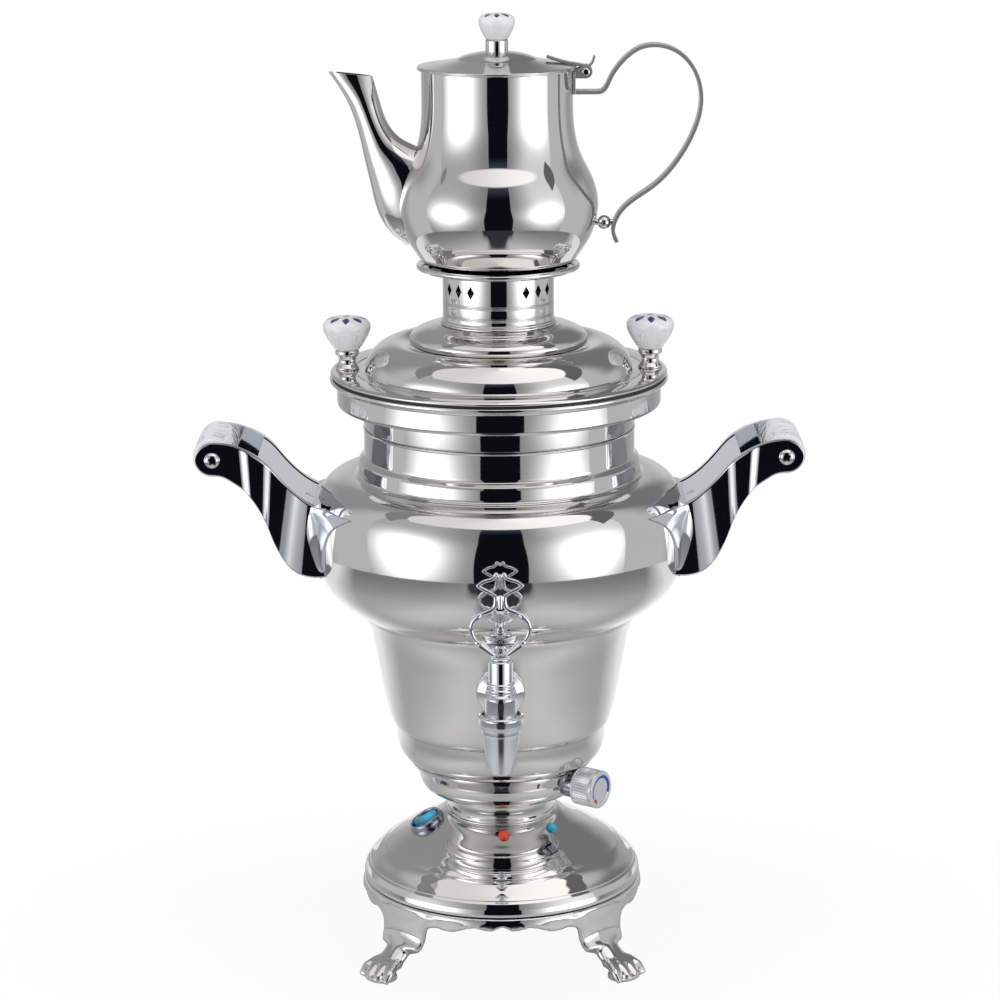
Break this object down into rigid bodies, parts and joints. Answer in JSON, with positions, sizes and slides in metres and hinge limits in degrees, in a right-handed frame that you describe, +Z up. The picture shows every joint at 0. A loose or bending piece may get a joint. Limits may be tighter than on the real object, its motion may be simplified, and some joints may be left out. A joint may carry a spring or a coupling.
{
  "type": "samovar",
  "caption": "Electric samovar: tiered polished body with claw feet, side handles, front tap, pilot lamps, dial, lift-off lid, steam stand and teapot.",
  "frame": {"origin": "on the samovar's vertical axis, in the plane of the claw feet", "axes": "+Z up along the axis, -Y towards the tap, +X towards the thermostat knob's side"},
  "size_m": [0.3772, 0.2621, 0.5898],
  "materials": {
    "polished_steel": "mirror polished stainless steel, slightly warm",
    "chrome_casting": "bright chrome on a casting, slightly blue",
    "porcelain": "glazed white porcelain with cobalt petals",
    "plain_steel": "plain zinc plated steel",
    "brass": "bare brass",
    "black_plastic": "moulded black",
    "dark_chrome": "dark chromed plastic",
    "silver_knob": "silver plated, finely knurled",
    "blue_lens": "clear blue",
    "red_lens": "clear red",
    "white_nylon": "moulded nylon",
    "seal_rubber": "moulded silicone"
  },
  "bodies": {
    "root": {"foot_ring": "chrome_casting", "base_plate": "plain_steel", "base_dome": "polished_steel", "neck_tube": "polished_steel", "bowl_shell": "polished_steel", "lower_band": "polished_steel", "vase_shell": "polished_steel", "belly_shell": "polished_steel", "rim_band": "polished_steel", "tank_floor": "plain_steel", "tie_rod": "plain_steel", "tie_nut": "plain_steel", "heating_element": "plain_steel", "heater_terminals": "brass", "thermostat_body": "black_plastic", "thermostat_collar": "dark_chrome", "switch_bezel": "dark_chrome", "red_lamp": "red_lens", "blue_lamp": "blue_lens", "lamp_nuts": "white_nylon", "cable_gland": "black_plastic", "handle_left": "chrome_casting", "handle_right": "chrome_casting", "grip_left": "porcelain", "grip_right": "porcelain", "grip_rods": "plain_steel", "handle_screws": "polished_steel", "handle_bolts": "plain_steel", "handle_nuts": "plain_steel", "tap_body": "chrome_casting", "tap_flange": "chrome_casting", "tap_nut": "brass", "tap_seals": "seal_rubber", "tap_nozzle": "chrome_casting"},
    "dial": {"thermostat_shaft": "plain_steel", "thermostat_knob": "silver_knob"},
    "rocker": {"switch_rocker": "blue_lens"},
    "tap_valve": {"tap_plug": "brass", "tap_key": "chrome_casting"},
    "lid": {"lid_shell": "polished_steel", "lid_crown": "polished_steel", "lid_ferrules": "polished_steel", "lid_knob_left": "porcelain", "lid_knob_right": "porcelain", "lid_screws": "plain_steel"},
    "steam_stand": {"steam_collar": "polished_steel", "teapot_tray": "polished_steel"},
    "teapot": {"teapot_body": "polished_steel", "teapot_spout": "polished_steel", "teapot_handle": "polished_steel", "handle_ball": "polished_steel", "hinge_bracket": "polished_steel", "hinge_pin": "polished_steel"},
    "teapot_cover": {"teapot_lid": "polished_steel", "hinge_leaf": "polished_steel", "teapot_ferrule": "polished_steel", "teapot_knob": "porcelain"}
  },
  "joints": [
    {"name": "lid_lift", "type": "slide", "parent": "root", "child": "lid", "axis": [0, 0, 1], "range_m": [0, 0.12]},
    {"name": "stand_lift", "type": "slide", "parent": "lid", "child": "steam_stand", "axis": [0, 0, 1], "range_m": [0, 0.06]},
    {"name": "teapot_lift", "type": "slide", "parent": "steam_stand", "child": "teapot", "axis": [0, 0, 1], "range_m": [0, 0.15]},
    {"name": "teapot_lid_hinge", "type": "hinge", "parent": "teapot", "child": "teapot_cover", "pos_m": [0.0536, 0, 0.5548], "axis": [0, 1, 0], "range_deg": [0, 95]},
    {"name": "tap_turn", "type": "hinge", "parent": "root", "child": "tap_valve", "pos_m": [0, -0.133, 0.2], "axis": [0, 0, 1], "range_deg": [0, 90]},
    {"name": "dial_turn", "type": "hinge", "parent": "root", "child": "dial", "pos_m": [0.04891, -0.03476, 0.112], "axis": [0.8151, -0.5793, 0], "range_deg": [-270, 0]},
    {"name": "rocker_tilt", "type": "hinge", "parent": "root", "child": "rocker", "pos_m": [-0.04646, -0.00988, 0.07769], "axis": [0.2079, -0.9781, 0], "range_deg": [0, 12]}
  ]
}
